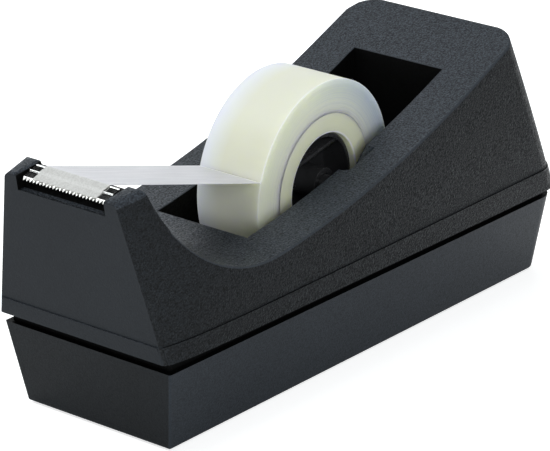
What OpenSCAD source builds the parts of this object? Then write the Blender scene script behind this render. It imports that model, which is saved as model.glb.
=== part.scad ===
// Weighted desk tape dispenser with a reel that lifts out of its well.
// X runs along the length with the cutter at -X, Y across, Z up.
// The origin is under the middle of the overall length, on the desk.

/* [Overall] */
// Length from the top of the front wall to the foot of the rear wall
length = 172.3; // [165:0.5:185]
// Height of the rear edge above the desk
height = 70.8; // [67:0.2:76]
// Widest part of the upper housing
width = 54.7; // [50:0.1:60]

/* [Base tray] */
// Height of the drafted part of the base
base_h = 21.1; // [18:0.1:24]
// Length of the base at its foot
foot_len = 155.2; // [150:0.5:160]
// Width of the base at its foot
foot_w = 44; // [42:0.2:47]
// Lean of the base's sides and rear
side_draft = 8.9; // [6:0.1:10]
// Lean of the base's front
front_draft = 11.7; // [8:0.1:13]
// Radius of the base's rear corners at the foot
foot_r = 4.6; // [4:0.1:7]
// Wall of the base
base_wall = 2.4; // [2:0.1:3]
// Floor of the base
base_floor = 2.6; // [2.2:0.1:3.2]
// Height of the shadow gap between base and housing
gap_h = 2.9; // [2:0.1:4]
// Depth of the shadow gap
gap_d = 1.5; // [1:0.1:2]

/* [Upper housing] */
// Wall of the housing
wall = 2.3; // [1.8:0.1:2.8]
// Lean of the front face from upright
front_lean = 11.2; // [8:0.1:14]
// Height of the cheeks at the front
cheek_front_z = 64; // [63:0.1:65]
// Height of the cheeks at the rear
cheek_rear_z = 65.2; // [64.6:0.1:66.5]
// Radius along the outer top edges of the cheeks
cheek_r = 2.8; // [1:0.1:3]
// Radius along the inner and rear top edges of the cheeks
cheek_inner_r = 0.9; // [0.5:0.1:1.2]
// Half angle of the cone that shapes each side
side_cone = 79.6; // [78:0.1:81]
// From the foot of the front face back to that cone's tip
side_tip_in = 2.1; // [1:0.1:4]
// Height of that cone's tip
side_tip_z = 15.6; // [12:0.1:18]
// Rise of the line where that cone touches the widest plane
side_tilt = 2.7; // [1:0.1:4]
// Radius of the rear corners
rear_r = 8.6; // [6:0.1:10]
// Radius of the front corners
front_r = 1.2; // [0.8:0.1:2]
// Height of the smooth band at its front
band_h = 4.2; // [3:0.1:6]
// Rise of the band's upper edge towards the rear
band_rise = 0.7; // [0:0.1:1]
// How far the smooth band stands proud
band_proud = 0.3; // [0.2:0.05:0.5]

/* [Scoop and ramp] */
// Lowest point of the scoop, from the top of the front face
scoop_in = 44.4; // [43:0.1:46]
// Height of that point
scoop_z = 39.6; // [38:0.1:41]
// Radius of the scoop behind the front wall
scoop_r = 37.9; // [37:0.1:39]
// Slope where the scoop runs into the ramp
join_slope = 7.9; // [7:0.1:9]
// Radius of the ramp
ramp_r = 309; // [295:1:320]
// Slope of the ramp's straight top
ramp_slope = 23.3; // [22:0.1:24.5]

/* [Well] */
// Width of the well
well_w = 27.6; // [25:0.1:29]
// Length of the well ahead of the axle
well_front = 36.2; // [34:0.1:38]
// Length of the well behind the axle
well_rear = 43.2; // [42:0.1:46]
// Height of the well's floor above the desk
well_z = 10.35; // [10:0.05:12]
// Clearance under a full roll
well_under = 6; // [5:0.1:7]

/* [Reel] */
// Axle, from the middle of the length
axle_x = 1.85; // [0:0.05:3]
// Diameter of the axle
axle_d = 5; // [4:0.1:6]
// Running clearance round the axle
run_clear = 0.08; // [0.05:0.01:0.1]
// How far the axle's grooves go into the walls
groove_depth = 2.7; // [2:0.1:3.2]
// Lean of the grooves towards the rear
groove_lean = 29; // [20:0.5:30]
// Width of the tape
tape_w = 19; // [18:0.5:20]
// Diameter of a full roll
roll_d = 53; // [45:0.5:55]
// Outer diameter of the tape's core
core_d = 35.8; // [32:0.1:38]
// Bore of the tape's core
core_bore = 25.8; // [25.4:0.1:27]
// Gap between hub and core
hub_clear = 0.1; // [0.05:0.01:0.2]
// Width of the hub
hub_w = 16.4; // [14:0.1:18]
// Wall of the hub
hub_wall = 1.3; // [1:0.1:1.8]
// Distance of the hub's gripping plates from the axle
plate_off = 8; // [7:0.1:9]
// Turn of the hub's plates about the axle
plate_turn = 11.5; // [0:0.5:30]
// Thickness of the loose end of tape
strip_t = 0.15; // [0.1:0.01:0.3]

/* [Cutter] */
// Width of the cutter
cutter_w = 24.8; // [23:0.1:25.4]
// Thickness of the cutter's sheet
cutter_t = 0.5; // [0.4:0.05:0.6]
// From the top of the front face back to the cutter's rear edge
cutter_in = 6.6; // [6.2:0.1:7]
// Height of that edge
cutter_z = 64.6; // [64.2:0.05:65]
// Fall of the cutter towards its teeth
cutter_tilt = 18.5; // [15:0.5:20]
// Length of the cutter from its rear edge to the roots of its teeth
cutter_len = 4.8; // [4.5:0.1:5]
// From the rear edge to the rib
rib_at = 2.3; // [2:0.1:2.6]
// Radius of the rib
rib_r = 0.25; // [0.2:0.01:0.3]
// Radius of the rolled rear edge
roll_edge_r = 0.35; // [0.3:0.01:0.4]
// Length of a tooth
tooth_len = 0.9; // [0.6:0.05:1.1]
// Number of teeth
teeth = 25; // [21:1:29]
// Depth of the recess under the teeth
recess_d = 3.1; // [2.8:0.1:3.4]
// Height of the front face's edge below the teeth
recess_z = 59.9; // [59:0.1:60.5]
// Gap between the cutter and the cheeks
cutter_gap = 0.7; // [0.3:0.1:0.8]

/* [Weight, pad and screws] */
// Height of the weight at both ends of the well
weight_h = 15.6; // [12:0.1:17]
// Height of the weight under the well
weight_t = 3.4; // [2.6:0.1:3.6]
// Thickness of the non-slip pad
pad_t = 1.4; // [1:0.1:1.8]
// How far the pad stands below the base
pad_proud = 0.6; // [0.4:0.1:0.8]
// Diameter of the screws
screw_d = 3; // [2.6:0.1:3.4]
// Length of the screws under their heads
screw_len = 11; // [9:0.5:14]
// Spacing of the screws across
screw_gap = 24; // [22:0.5:28]

/* [Hidden] */
$fn = 96;
EPS = 0.01;
BIG = 400;
FIT = 0.25;
LESS = 0.05;
TOUCH = 0.03;

BLACK = [0.07, 0.07, 0.08];
GLOSS = [0.03, 0.03, 0.03];
STEEL = [0.75, 0.76, 0.78];
IRON = [0.35, 0.35, 0.36];
FOAM = [0.12, 0.12, 0.12];
CREAM = [0.90, 0.91, 0.86];
CORE = [0.93, 0.92, 0.82];
FILM = [0.82, 0.82, 0.86];

// Levels
base_top = pad_proud + base_h;
sill_z = base_top + gap_h;
floor_top = pad_proud + base_floor;

// Front face, where front_x is the top of the grained skin
front_x = -length / 2;
front_top_x = front_x - band_proud;
front_foot_x = front_top_x + (cheek_front_z - sill_z) * tan(front_lean);

// The scoop's and the ramp's arcs touch where both slope by join_slope
scoop_c = [front_x + scoop_in, scoop_z + scoop_r];
ramp_c = scoop_c + (ramp_r - scoop_r) * [-sin(join_slope), cos(join_slope)];
join_x = scoop_c.x + scoop_r * sin(join_slope);
straight = ramp_c + ramp_r * [sin(ramp_slope), -cos(ramp_slope)];

// Rear face
rear_foot_x = length / 2;
rear_top_x = straight.x + (height - straight.y) / tan(ramp_slope);
rear_lean = atan((rear_foot_x - rear_top_x - band_proud) / (height - sill_z));

// Sides
side_tip_x = front_foot_x + side_tip_in;

// How far a side lies inside the widest plane at a place in the side profile
function side_in(x, z) =
    let (
        u = (x - side_tip_x) * cos(side_tilt) + (z - side_tip_z) * sin(side_tilt),
        v = (z - side_tip_z) * cos(side_tilt) - (x - side_tip_x) * sin(side_tilt),
        k = pow(sin(side_cone), 2) - pow(cos(side_cone), 2),
        m = u * sin(side_cone) * cos(side_cone)
    )
    (sqrt(m * m + k * pow(v * cos(side_cone), 2)) - m) / k;

// Half of the skin's width there
function skin_half_w(x, z) = width / 2 - side_in(x, z) - band_proud;

// Cheeks, whose tops rise towards the rear and end where the scoop starts
cheek_rear_x = scoop_c.x - sqrt(pow(scoop_r, 2) - pow(scoop_c.y - cheek_rear_z, 2));
cheek_rise = atan2(cheek_rear_z - cheek_front_z, cheek_rear_x - front_x);
cheek_front_w = skin_half_w(front_x, cheek_front_z);
cheek_fan = atan2(skin_half_w(cheek_rear_x, cheek_rear_z) - cheek_front_w, cheek_rear_x - front_x);
foot_front_w = width / 2 - side_in(front_foot_x, sill_z);
cheek_lean = atan((foot_front_w - band_proud - cheek_front_w) * cos(front_lean) / (cheek_front_z - sill_z));

// Foot of the base, whose top is flush with the housing's rear
foot_rear_x = rear_foot_x - base_h * tan(side_draft);
foot_front_x = foot_rear_x - foot_len;
base_top_r = foot_r + base_h * tan(side_draft);

// Well and axle
axle_r = axle_d / 2;
roll_r = roll_d / 2;
well_x0 = axle_x - well_front;
well_x1 = axle_x + well_rear;
axle_z = well_z + well_under + roll_r;
groove_y = well_w / 2 + groove_depth;
groove_r = axle_r + run_clear;
groove_reach = 5 * axle_r;
groove_mouth = 3.2;
groove_soft = 1.8;
groove_wall_front = 6;
groove_wall_rear = 10;

// Sill inside the housing's foot, and the rim inside the base's top
sill_t = 2.4;
rim_h = 3;

// Screws, their posts and their heads
screw_inset = 5.6;
screw_x = [well_x0 - wall - screw_inset, well_x1 + wall + screw_inset];
post_wall = 2;
post_rib_t = 1.6;
post_r = screw_d / 2 + post_wall;
post_z = floor_top + weight_t + 2 * FIT;
boss_r = post_r + 0.8;
head_r = 2.8;
head_h = 1.9;
head_z = floor_top + 0.6;
pad_inset = 1.5;

// Room round the weight, the well and the posts
weight_end_gap = 3;
weight_side_gap = 1.2;
post_gap = 1.6;

// Hub
hub_r = core_bore / 2 - hub_clear;
hub_boss_r = 4.1;
hub_lip = 0.4;
plate_t = 1.2;
web_t = 1.4;
axle_tip = 0.8;
axle_end_gap = 0.9;

// Cutter and the notch between the cheeks
cutter_x = front_x + cutter_in;
notch_half = cutter_w / 2 + cutter_gap;

// A place in the side profile, s from the cutter's rear edge and h above its top face
function on_cutter(s, h) =
    [cutter_x, cutter_z]
    + s * [-cos(cutter_tilt), -sin(cutter_tilt)]
    + h * [-sin(cutter_tilt), cos(cutter_tilt)];

// A disc lying across the part, centred at p in the side profile
module across(p, r, y) {
    translate([p.x, y, p.y])
        rotate([90, 0, 0])
            cylinder(h = 2 * y, r = r);
}

// A side profile drawn in X and Z, extruded across the part
module profile(y) {
    translate([0, y, 0])
        rotate([90, 0, 0])
            linear_extrude(2 * y)
                children();
}

// Everything above the scoop, the ramp and its straight top, lowered by d
module above_ramp(d) {
    intersection() {
        across(scoop_c, scoop_r + d, width);
        translate([-length, -width, 0])
            cube([length + join_x, 2 * width, BIG]);
    }
    intersection() {
        across(ramp_c, ramp_r + d, width);
        translate([join_x - EPS, -width, 0])
            cube([straight.x - join_x + 2 * EPS, 2 * width, BIG]);
    }
    profile(width)
        translate(straight)
            rotate(ramp_slope)
                translate([-d, -d])
                    square([length, height]);
}

// Inside of the cone that shapes one side, d inside the surface
module side_form(side, d) {
    dir = [
        cos(side_cone) * cos(side_tilt),
        -side * sin(side_cone),
        cos(side_cone) * sin(side_tilt)
    ];
    translate([side_tip_x, side * width / 2, side_tip_z])
        rotate([0, acos(dir.z), atan2(dir.y, dir.x)])
            translate([0, 0, d / sin(side_cone)])
                cylinder(h = 2 * width, r1 = 0, r2 = 2 * width * tan(side_cone), $fn = 360);
}

// Both rear corners of the housing. They lean with the rear face and bend inwards
// with the sides, which curve like the sides' cone does there
module rear_waste(d) {
    bend_r = (rear_foot_x - side_tip_x) * tan(side_cone);
    arc = 12;
    for (flip = [0, 1])
        mirror([0, flip, 0])
            translate([rear_foot_x - rear_r / cos(rear_lean), width / 2 - rear_r, sill_z])
                rotate([0, -rear_lean, 0])
                    difference() {
                        translate([0, 0, -height])
                            cube([2 * rear_r, 2 * rear_r, 2 * height]);
                        translate([0, -bend_r, 0])
                            rotate([90, 0, 90])
                                rotate(-arc / 2)
                                    rotate_extrude(angle = arc, $fn = 720)
                                        translate([bend_r, 0])
                                            circle(rear_r - d * cos(rear_lean) + TOUCH, $fn = 96);
                    }
}

// Both front corners of the housing, along the front edges of the cheeks
module front_waste() {
    for (flip = [0, 1])
        mirror([0, flip, 0])
            translate([front_foot_x, foot_front_w, sill_z])
                rotate([0, -front_lean, 0])
                    rotate([cheek_lean, 0, 0])
                        translate([front_r, -front_r, 0])
                            difference() {
                                translate([-2 * front_r, 0, -height])
                                    cube([2 * front_r, 2 * front_r, 2 * height]);
                                translate([0, 0, -2 * height])
                                    cylinder(h = 4 * height, r = front_r + TOUCH);
                            }
}

// What is left of a corner outside its rounding, between the directions a0 and a1
module round_waste(r, a0, a1) {
    reach = 3 * r;
    middle = (a0 + a1) / 2;
    difference() {
        polygon([
            [0, 0],
            reach * [cos(a0), sin(a0)],
            2 * reach * [cos(middle), sin(middle)],
            reach * [cos(a1), sin(a1)]
        ]);
        circle(r + TOUCH);
    }
}

// The same along an edge that starts at p and rises and fans out like a cheek's top
module edge_waste(p, fan, r, y, a0, a1) {
    translate(p)
        rotate([0, -cheek_rise, fan])
            rotate([90, 0, 90])
                translate([y, -r, -cheek_r])
                    linear_extrude(cheek_rear_x - front_x + 2 * cheek_r)
                        round_waste(r, a0, a1);
}

// Rounded top edges of both cheeks
module cheek_waste() {
    r = cheek_inner_r;
    front_z = cheek_front_z + r * tan(cheek_rise) - r / cos(cheek_rise);
    front_c = [front_x + (cheek_front_z - front_z) * tan(front_lean) + r / cos(front_lean), front_z];
    rear_z = cheek_rear_z - r * tan(cheek_rise) - r / cos(cheek_rise);
    rear_c = [scoop_c.x - sqrt(pow(scoop_r + r, 2) - pow(scoop_c.y - rear_z, 2)), rear_z];
    to_scoop = scoop_c - rear_c;
    profile(width)
        translate(front_c)
            round_waste(r, 90 + cheek_rise, 180 + front_lean);
    profile(width)
        translate(rear_c)
            round_waste(r, atan2(to_scoop.y, to_scoop.x), 90 + cheek_rise);
    for (flip = [0, 1])
        mirror([0, flip, 0]) {
            edge_waste([front_x, notch_half, cheek_front_z], 0, r, r, 90, 180);
            edge_waste(
                [front_x, cheek_front_w, cheek_front_z], cheek_fan, cheek_r,
                -cheek_r * (1 - sin(cheek_lean)) / cos(cheek_lean), cheek_lean, 90
            );
        }
}

// Outer form of the housing, d inside its surface
module housing_form(d) {
    difference() {
        intersection() {
            profile(width)
                polygon([
                    [front_foot_x + d, sill_z],
                    [front_top_x + d, cheek_front_z],
                    [cheek_rear_x, cheek_rear_z],
                    [cheek_rear_x, height],
                    [rear_top_x + band_proud - d, height],
                    [rear_foot_x - d, sill_z]
                ]);
            side_form(-1, d);
            side_form(1, d);
        }
        above_ramp(d - band_proud);
        rear_waste(d);
    }
}

// Everything above the line where the smooth band ends, or below it
module above_band(d) {
    translate([-length / 2, -width, sill_z + band_h + d])
        rotate([0, -band_rise, 0])
            translate([-length, 0, 0])
                cube([3 * length, 2 * width, BIG]);
}

// Skin of the housing: the smooth band stands proud of the grained part above it
module housing_skin() {
    difference() {
        union() {
            housing_form(band_proud);
            difference() {
                housing_form(0);
                above_band(0);
            }
        }
        front_waste();
        cheek_waste();
    }
}

// Hollow of the housing, open below through its sill
module housing_hollow() {
    difference() {
        housing_form(wall + band_proud);
        translate([-length, -width, 0])
            cube([2 * length, 2 * width, sill_z + sill_t]);
        translate([-length, -width, recess_z - wall])
            cube([length + scoop_c.x, 2 * width, height]);
    }
    translate([0, 0, sill_z - EPS])
        linear_extrude(sill_t + 2 * EPS)
            sill_opening();
}

// Opening of the sill, which matches the inside of the base's neck
module sill_opening() {
    neck_outline(base_wall);
}

// Box that holds the well, d outside its inner faces
module well_box(d, top) {
    translate([well_x0 - d, -well_w / 2 - d, well_z - d])
        cube([well_x1 - well_x0 + 2 * d, well_w + 2 * d, top - well_z + d]);
}

// The way in for the axle, grown by d, with a rounded front corner and a flared mouth
module axle_groove(d) {
    soft = groove_soft;
    y = groove_y + d;
    r = groove_r + d;
    translate([axle_x, 0, axle_z])
        rotate([0, groove_lean, 0]) {
            rotate([90, 0, 0])
                translate([0, 0, -y])
                    cylinder(h = 2 * y, r = r);
            linear_extrude(groove_reach) {
                translate([soft - r, -y])
                    square([2 * r - soft, 2 * y]);
                translate([-r, soft - y])
                    square([2 * soft, 2 * y - 2 * soft]);
                for (flip = [0, 1])
                    mirror([0, flip])
                        translate([soft - r, y - soft])
                            circle(soft);
            }
            translate([0, y, 0])
                rotate([90, 0, 0])
                    linear_extrude(2 * y)
                        polygon([
                            [r - EPS, groove_r],
                            [r + groove_mouth, groove_reach],
                            [r - EPS, groove_reach]
                        ]);
        }
}

// Walls round the well and the axle's grooves, up to the ramp
module well_walls() {
    intersection() {
        union() {
            well_box(wall, height);
            translate([axle_x - groove_wall_front, -groove_y - wall, well_z + roll_r / 2])
                cube([groove_wall_front + groove_wall_rear, 2 * (groove_y + wall), height]);
        }
        union() {
            housing_form(wall / 2 + band_proud);
            translate([-length, -width, 0])
                cube([2 * length, 2 * width, sill_z + sill_t]);
        }
    }
}

// Posts that take the screws, tied to the well's end walls by short ribs
module screw_posts() {
    intersection() {
        for (i = [0, 1], flip = [0, 1])
            mirror([0, flip, 0])
                translate([screw_x[i], screw_gap / 2, post_z]) {
                    cylinder(h = height, r = post_r);
                    translate([i == 0 ? 0 : -screw_inset, -post_rib_t / 2, FIT])
                        cube([screw_inset, post_rib_t, height]);
                }
        union() {
            housing_form(wall / 2 + band_proud);
            translate([-length, -width, 0])
                cube([2 * length, 2 * width, sill_z + sill_t]);
        }
    }
}

// Something at each of the four screws
module at_screws(z) {
    for (x = screw_x, y = [-1, 1])
        translate([x, y * screw_gap / 2, z])
            children();
}

// Moves its children onto the cutter's top face, with the rear edge along Y
module at_cutter() {
    translate([cutter_x, 0, cutter_z])
        rotate([0, -cutter_tilt, 0])
            children();
}

// Notch between the cheeks: the slanted seat, the step behind it and the recess
module cutter_notch() {
    step_x = cutter_x - 2 * roll_edge_r;
    step_z = cutter_z - cutter_t / 2 - roll_edge_r - 2 * LESS;
    at_cutter()
        translate([-length, -notch_half, -cutter_t - LESS])
            cube([length + cutter_len, 2 * notch_half, height]);
    translate([step_x, -notch_half, step_z])
        cube([scoop_c.x - step_x, 2 * notch_half, height]);
    translate([-length, -notch_half, recess_z])
        cube([length + front_x + recess_d, 2 * notch_half, height]);
}

module upper_housing() {
    color(BLACK)
        difference() {
            union() {
                difference() {
                    housing_skin();
                    housing_hollow();
                }
                well_walls();
                screw_posts();
            }
            well_box(0, BIG);
            axle_groove(0);
            cutter_notch();
            at_screws(post_z - EPS)
                cylinder(h = screw_len, r = screw_d / 2 + LESS);
        }
}

// Side profile and cross-section of the drafted base, d inside its faces
module base_form(z0, z1, d) {
    rear_k = tan(side_draft);
    front_k = tan(front_draft);
    a = z0 - pad_proud;
    b = z1 - pad_proud;
    corner_x = foot_rear_x - foot_r;
    corner_y = foot_w / 2 - foot_r;
    difference() {
        intersection() {
            profile(width)
                polygon([
                    [foot_front_x - a * front_k + d, z0],
                    [foot_front_x - b * front_k + d, z1],
                    [foot_rear_x + b * rear_k - d, z1],
                    [foot_rear_x + a * rear_k - d, z0]
                ]);
            translate([-length, 0, 0])
                rotate([90, 0, 90])
                    linear_extrude(2 * length)
                        polygon([
                            [-foot_w / 2 - a * rear_k + d, z0],
                            [-foot_w / 2 - b * rear_k + d, z1],
                            [foot_w / 2 + b * rear_k - d, z1],
                            [foot_w / 2 + a * rear_k - d, z0]
                        ]);
        }
        for (flip = [0, 1])
            mirror([0, flip, 0])
                translate([corner_x, corner_y, z0])
                    difference() {
                        translate([0, 0, -EPS])
                            cube([width, width, z1 - z0 + 2 * EPS]);
                        cylinder(h = z1 - z0, r1 = foot_r + a * rear_k - d, r2 = foot_r + b * rear_k - d);
                    }
    }
}

// Outline of the neck in the shadow gap, d inside its face
module neck_outline(d) {
    x0 = foot_front_x - base_h * tan(front_draft) + gap_d + d;
    x1 = foot_rear_x + base_h * tan(side_draft) - gap_d - d;
    y = foot_w / 2 + base_h * tan(side_draft) - gap_d - d;
    r = base_top_r - gap_d - d;
    difference() {
        translate([x0, -y])
            square([x1 - x0, 2 * y]);
        for (flip = [0, 1])
            mirror([0, flip])
                translate([x1 - r, y - r])
                    difference() {
                        square(2 * r);
                        circle(r);
                    }
    }
}

// Outline of the pad, d inside the foot of the base
module pad_outline(d) {
    r = foot_r - d;
    x0 = foot_front_x + d;
    x1 = foot_rear_x - d;
    y = foot_w / 2 - d;
    translate([x0, -y])
        square([x1 - r - x0, 2 * y]);
    translate([x1 - 2 * r, r - y])
        square([2 * r, 2 * (y - r)]);
    for (side = [-1, 1])
        translate([x1 - r, side * (y - r)])
            circle(r);
}

module base_tray() {
    color(BLACK)
        difference() {
            union() {
                difference() {
                    union() {
                        base_form(pad_proud, base_top, 0);
                        translate([0, 0, base_top - EPS])
                            linear_extrude(gap_h + EPS)
                                neck_outline(0);
                    }
                    base_form(floor_top, base_top - rim_h, base_wall);
                    translate([0, 0, base_top - rim_h - EPS])
                        linear_extrude(BIG)
                            neck_outline(base_wall);
                }
                at_screws(floor_top - EPS)
                    cylinder(h = post_z - floor_top - FIT, r = boss_r);
            }
            translate([0, 0, -EPS])
                linear_extrude(pad_t + EPS)
                    pad_outline(pad_inset);
            at_screws(0)
                cylinder(h = BIG, r = screw_d / 2 + FIT);
            at_screws(0)
                cylinder(h = head_z, r = head_r + FIT);
        }
}

module ballast_weight() {
    x0 = foot_front_x + base_wall + weight_end_gap;
    x1 = foot_rear_x - base_wall - weight_end_gap;
    half = foot_w / 2 - base_wall - weight_side_gap;
    pocket = wall + weight_side_gap;
    clear_r = post_r + post_gap;
    color(IRON)
        difference() {
            translate([x0, -half, floor_top])
                cube([x1 - x0, 2 * half, weight_h]);
            translate([well_x0 - pocket, -width, floor_top + weight_t])
                cube([well_x1 - well_x0 + 2 * pocket, 2 * width, BIG]);
            for (i = [0, 1])
                translate([screw_x[i] - clear_r, -width, floor_top + weight_t])
                    cube([2 * clear_r, 2 * width, BIG]);
            at_screws(0)
                cylinder(h = BIG, r = clear_r);
        }
}

module non_slip_pad() {
    color(FOAM)
        linear_extrude(pad_t)
            pad_outline(pad_inset + FIT);
}

module assembly_screws() {
    color(STEEL)
        at_screws(head_z) {
            cylinder(h = screw_len, r = screw_d / 2);
            translate([0, 0, -head_h])
                cylinder(h = head_h, r = head_r);
        }
}

// Roots and tips of the teeth, seen from above with the tips towards -X
function tooth_points(pitch) = [
    for (i = [0 : teeth - 1])
        each [
            [-cutter_len, -cutter_w / 2 + i * pitch],
            [-cutter_len - tooth_len, -cutter_w / 2 + (i + 0.5) * pitch]
        ]
];

// A rod of radius r across the cutter, s from its rear edge and h above its top face
module cutter_rod(s, h, r) {
    translate([-s, cutter_w / 2, h])
        rotate([90, 0, 0])
            cylinder(h = cutter_w, r = r);
}

module cutter_blade() {
    half = cutter_w / 2;
    color(STEEL)
        at_cutter() {
            translate([0, 0, -cutter_t])
                linear_extrude(cutter_t)
                    polygon(concat(
                        [[0, half], [0, -half]],
                        tooth_points(cutter_w / teeth),
                        [[-cutter_len, half]]
                    ));
            cutter_rod(rib_at, 0, rib_r);
            cutter_rod(0, -cutter_t / 2, roll_edge_r);
        }
}

module spindle_axle() {
    half = groove_y - axle_end_gap;
    color(GLOSS)
        translate([axle_x, 0, axle_z])
            rotate([90, 0, 0]) {
                translate([0, 0, axle_tip - half])
                    cylinder(h = 2 * half - 2 * axle_tip, r = axle_r);
                for (flip = [0, 1])
                    mirror([0, 0, flip])
                        translate([0, 0, half - axle_tip])
                            cylinder(h = axle_tip, r1 = axle_r, r2 = axle_r - axle_tip);
            }
}

// A ring round the axle, w wide
module ring(r_out, r_in, w) {
    translate([axle_x, w / 2, axle_z])
        rotate([90, 0, 0])
            difference() {
                cylinder(h = w, r = r_out, $fn = 192);
                translate([0, 0, -EPS])
                    cylinder(h = w + 2 * EPS, r = r_in, $fn = 192);
            }
}

// A disc of radius r on the hub's axis, w wide
module hub_disc(r, w) {
    translate([0, 0, -w / 2])
        cylinder(h = w, r = r);
}

// Rim of the hub, with both outer edges chamfered
module hub_rim() {
    difference() {
        union() {
            hub_disc(hub_r, hub_w - 2 * hub_lip);
            for (flip = [0, 1])
                mirror([0, 0, flip])
                    translate([0, 0, hub_w / 2 - hub_lip])
                        cylinder(h = hub_lip, r1 = hub_r, r2 = hub_r - hub_lip);
        }
        hub_disc(hub_r - hub_wall, hub_w + 2 * EPS);
    }
}

// Plates that grip the rim from inside
module hub_plates(reach) {
    intersection() {
        for (side = [-1, 1])
            translate([-reach, side * plate_off - plate_t / 2, hub_lip - hub_w / 2])
                cube([2 * reach, plate_t, hub_w - 2 * hub_lip]);
        hub_disc(reach, hub_w);
    }
}

module core_hub() {
    reach = hub_r - hub_wall / 2;
    color(GLOSS)
        translate([axle_x, 0, axle_z])
            rotate([0, -plate_turn, 0])
                rotate([90, 0, 0])
                    difference() {
                        union() {
                            hub_rim();
                            hub_plates(reach);
                            hub_disc(reach, web_t);
                            hub_disc(hub_boss_r, tape_w);
                        }
                        hub_disc(axle_r + run_clear, BIG);
                    }
}

module tape_core() {
    color(CORE)
        ring(core_d / 2, core_bore / 2, tape_w);
}

module tape_roll() {
    color(CREAM)
        ring(roll_r, core_d / 2 + LESS, tape_w);
}

// Loose end of the tape: cut off at the teeth, stuck on the cutter over its rib and its
// rolled edge, then straight back to the roll
module tape_strip() {
    peel = 163;
    over_rib = rib_r + LESS;
    over_edge = on_cutter(0, -cutter_t / 2) + [0, roll_edge_r + 2 * LESS];
    peel_line = [axle_x, axle_z] + (roll_r + FIT) * [cos(peel), sin(peel)];
    path = [
        on_cutter(cutter_len + tooth_len / 2, LESS),
        on_cutter(rib_at + 2 * rib_r, LESS),
        on_cutter(rib_at, over_rib),
        over_edge,
        peel_line
    ];
    last = len(path) - 1;
    color(FILM)
        profile(tape_w / 2)
            polygon(concat(path, [for (i = [last : -1 : 0]) path[i] + [0, strip_t]]));
}

upper_housing();
base_tray();
ballast_weight();
non_slip_pad();
assembly_screws();
cutter_blade();
spindle_axle();
core_hub();
tape_core();
tape_roll();
tape_strip();
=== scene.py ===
import math

import bmesh
import bpy
from mathutils import Matrix, Vector


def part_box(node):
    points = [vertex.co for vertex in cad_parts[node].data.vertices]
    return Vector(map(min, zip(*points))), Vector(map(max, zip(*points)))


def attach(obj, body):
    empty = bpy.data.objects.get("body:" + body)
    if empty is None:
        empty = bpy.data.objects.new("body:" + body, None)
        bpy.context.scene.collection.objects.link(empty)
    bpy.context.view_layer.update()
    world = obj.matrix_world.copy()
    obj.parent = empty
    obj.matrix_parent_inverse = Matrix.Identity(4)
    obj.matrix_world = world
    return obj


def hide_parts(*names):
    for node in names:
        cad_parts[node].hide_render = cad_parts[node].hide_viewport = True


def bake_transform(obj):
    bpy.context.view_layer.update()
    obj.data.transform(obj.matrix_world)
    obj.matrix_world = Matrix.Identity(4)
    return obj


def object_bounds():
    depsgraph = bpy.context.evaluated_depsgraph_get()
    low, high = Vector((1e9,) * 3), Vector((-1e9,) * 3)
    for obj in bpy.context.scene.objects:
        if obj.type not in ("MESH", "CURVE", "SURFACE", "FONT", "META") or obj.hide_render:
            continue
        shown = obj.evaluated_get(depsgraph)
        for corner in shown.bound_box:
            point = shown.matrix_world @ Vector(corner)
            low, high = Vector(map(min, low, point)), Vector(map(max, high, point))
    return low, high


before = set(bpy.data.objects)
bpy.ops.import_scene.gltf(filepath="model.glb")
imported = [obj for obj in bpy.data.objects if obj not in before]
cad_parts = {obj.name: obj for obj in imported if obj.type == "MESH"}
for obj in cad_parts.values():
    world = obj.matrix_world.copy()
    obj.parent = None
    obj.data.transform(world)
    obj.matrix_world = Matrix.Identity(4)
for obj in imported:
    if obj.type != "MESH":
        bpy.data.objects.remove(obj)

scene = bpy.context.scene
scene.view_settings.view_transform = "Standard"
cad_low, cad_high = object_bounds()
middle = (Vector(cad_low) + Vector(cad_high)) / 2

MM = 0.001
UP = Vector((0, 0, 1))

# Camera: the way it looks, from +X and below the horizon, and its roll, in degrees
CAMERA_AZIMUTH = 37.16
CAMERA_ELEVATION = 20.83
CAMERA_ROLL = 1.41
CAMERA_DISTANCE = 773.4 * MM
CAMERA_LENS = 203.4
CAMERA_SENSOR = 36
AIM_OFFSET = Vector((-3.25, 1.6, -4.935)) * MM

# Rounding of the moulded edges
WELD = 0.02 * MM
FLAT_ANGLE = math.radians(0.05)
SHARP_ANGLE = math.radians(28)
CREASE_ANGLE = math.radians(30)
TURNED_CREASE = math.radians(40)
FILM_CREASE = math.radians(50)
HOUSING_ROUND = 0.45 * MM
HOUSING_FOOT_ROUND = 0.3 * MM
WELL_RIM_ROUND = 0.25 * MM
BASE_ROUND = 0.5 * MM
HUB_ROUND = 0.25 * MM

# Housing and base, as in the solids they stand for
WELL_HALF = 13.8 * MM
WELL_AHEAD = 36.2 * MM
WELL_BEHIND = 43.2 * MM
WELL_SLACK = 0.05 * MM
GROOVE_DEPTH = 4.2 * MM
GROOVE_FOOT = 7 * MM
GROOVE_AHEAD = 8 * MM
GROOVE_BEHIND = 14 * MM
SCOOP_LOW = 39.6 * MM
CHEEK_REAR = 16 * MM
CHEEK_LOW = 54 * MM
CHEEK_SHORT_EDGE = 4 * MM
NOTCH_REAR = 9 * MM
NOTCH_SIDE = 1.2 * MM
RECESS_SIDE = 0.75 * MM
RECESS_DEPTH = 2.4 * MM
BAND_HEIGHT = 4.2 * MM
BAND_SLOPE = math.radians(0.7)
NECK_HEIGHT = 2.95 * MM
NECK_MARGIN = 3.1 * MM

# How deep the moulded grain is, against the finish's full depth
SIDE_GRAIN = 0.95
TOP_GRAIN = 0.75
FRONT_GRAIN = 0.1
BAND_GRAIN = 0.12
EDGE_GRAIN = 0.2
BASE_GRAIN = 0.3

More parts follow.
